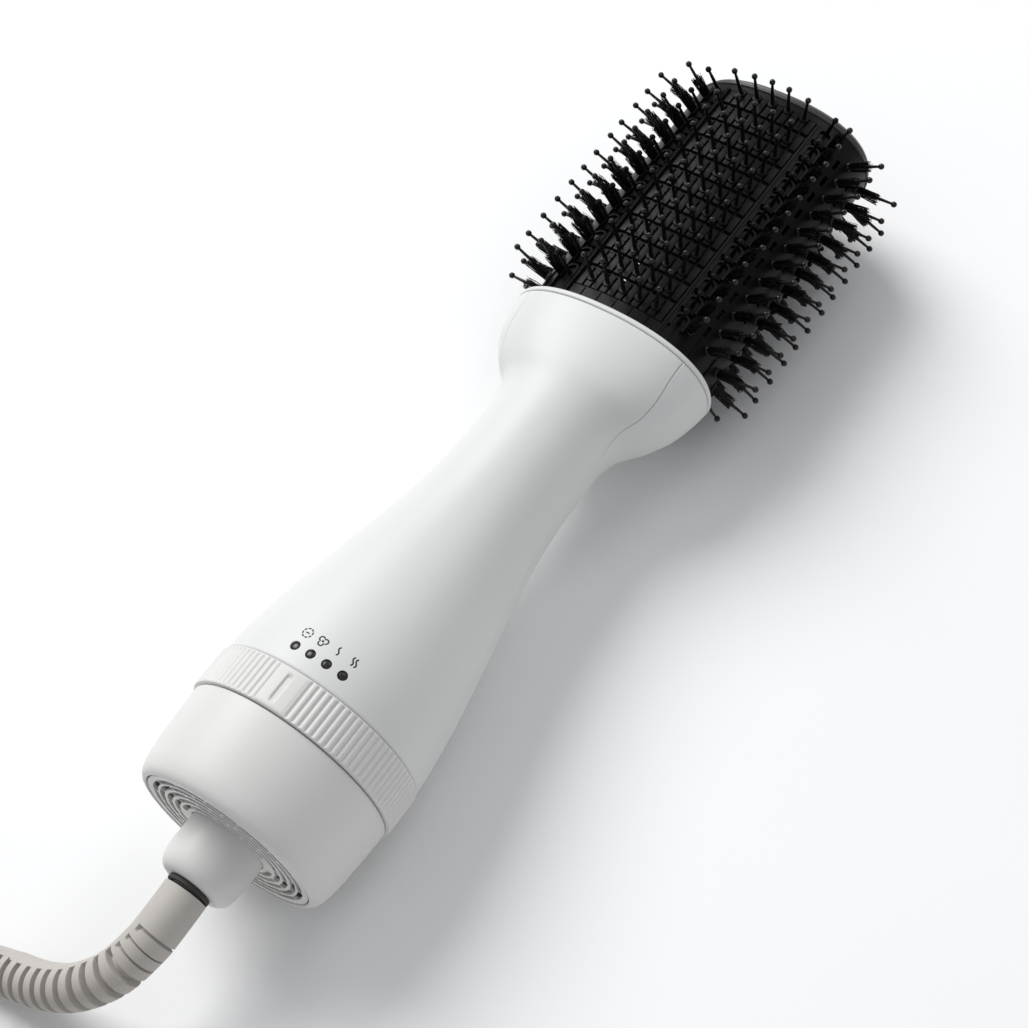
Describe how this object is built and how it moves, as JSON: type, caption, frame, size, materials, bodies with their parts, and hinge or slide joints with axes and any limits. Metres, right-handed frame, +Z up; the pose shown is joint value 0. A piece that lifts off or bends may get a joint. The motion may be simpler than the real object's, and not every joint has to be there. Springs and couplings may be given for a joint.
{
  "type": "hot air brush",
  "caption": "Hot air styling brush: flared dryer handle with a rotary dial and vented oval bristle barrel, lying on its back with its lead coiled beside it.",
  "frame": {"origin": "on the surface the brush lies on, under the middle of the brush's box (the free lead and its plug are not counted)", "axes": "+Y along the handle towards the brush tip, +Z up out of the front face with the dial's lights, +X to the right seen from the front with the tip away; the handle's axis dips 0.65 degrees towards the tip, because the brush rests on its dial ring and its rear face pins"},
  "size_m": [0.1792, 0.5477, 0.0813],
  "materials": {
    "white_shell": "satin off-white moulded plastic",
    "base_white": "satin warm-white moulded plastic",
    "pale_rubber": "matt pinkish-grey flexible PVC",
    "dark_rubber": "matt dark grey",
    "black_plastic": "semi-gloss black heat-resistant plastic",
    "black_nylon": "black nylon pins and bristle tufts",
    "end_trim": "brownish dark grey satin plastic",
    "smoked_lens": "smoked light window",
    "steel": "plain steel",
    "brass": "plain brass",
    "mica": "mica sheet",
    "circuit_board": "circuit board",
    "grey_plastic": "grey engineering plastic"
  },
  "bodies": {
    "lead": {"strain_relief": "pale_rubber", "power_cord": "pale_rubber", "cord_coil": "pale_rubber", "cord_tail": "pale_rubber", "plug_body": "pale_rubber", "plug_blade_left": "brass", "plug_blade_right": "brass", "swivel_spindle": "grey_plastic", "swivel_seal": "dark_rubber"},
    "brush": {"front_shell": "white_shell", "rear_shell": "white_shell", "collar_ring": "white_shell", "base_cap": "base_white", "inlet_grille": "base_white", "cord_boss": "base_white", "inlet_filter": "dark_rubber", "barrel": "black_plastic", "front_face_panel": "black_plastic", "rear_face_panel": "black_plastic", "end_cap": "black_plastic", "bristle_row_right_rear_corner": "black_nylon", "bristle_row_right_rear": "black_nylon", "bristle_row_right_side": "black_nylon", "bristle_row_right_front": "black_nylon", "bristle_row_right_front_corner": "black_nylon", "bristle_row_left_rear_corner": "black_nylon", "bristle_row_left_rear": "black_nylon", "bristle_row_left_side": "black_nylon", "bristle_row_left_front": "black_nylon", "bristle_row_left_front_corner": "black_nylon", "end_rim": "end_trim", "light_off": "smoked_lens", "light_cool": "smoked_lens", "light_low": "smoked_lens", "light_high": "smoked_lens", "boss_screw_left": "steel", "boss_screw_right": "steel", "detent_spring": "steel", "motor_can": "steel", "heater_coil": "steel", "thermostat": "steel", "thermal_fuse": "steel", "lower_bush": "brass", "upper_bush": "brass", "heat_shield": "mica", "heater_plate_a": "mica", "heater_plate_b": "mica", "switch_board": "circuit_board", "dial_carrier": "grey_plastic", "switch_body": "grey_plastic", "supply_leads": "grey_plastic", "motor_bracket": "grey_plastic", "fan_duct": "grey_plastic", "barrel_clamp": "grey_plastic"},
    "dial": {"dial_ring": "base_white", "switch_peg": "grey_plastic"},
    "fan": {"motor_shaft": "steel", "impeller": "grey_plastic"}
  },
  "joints": [
    {"name": "cord_swivel", "type": "hinge", "parent": "lead", "child": "brush", "pos_m": [0, -0.16384, 0.04085], "axis": [0, 0.9999, -0.0113], "range_deg": [-180, 180]},
    {"name": "dial_turn", "type": "hinge", "parent": "brush", "child": "dial", "pos_m": [0, -0.16384, 0.04085], "axis": [0, 0.9999, -0.0113], "range_deg": [-9.3, 18.6]},
    {"name": "fan_spin", "type": "hinge", "parent": "brush", "child": "fan", "pos_m": [0, -0.16384, 0.04085], "axis": [0, 0.9999, -0.0113], "continuous": true}
  ]
}
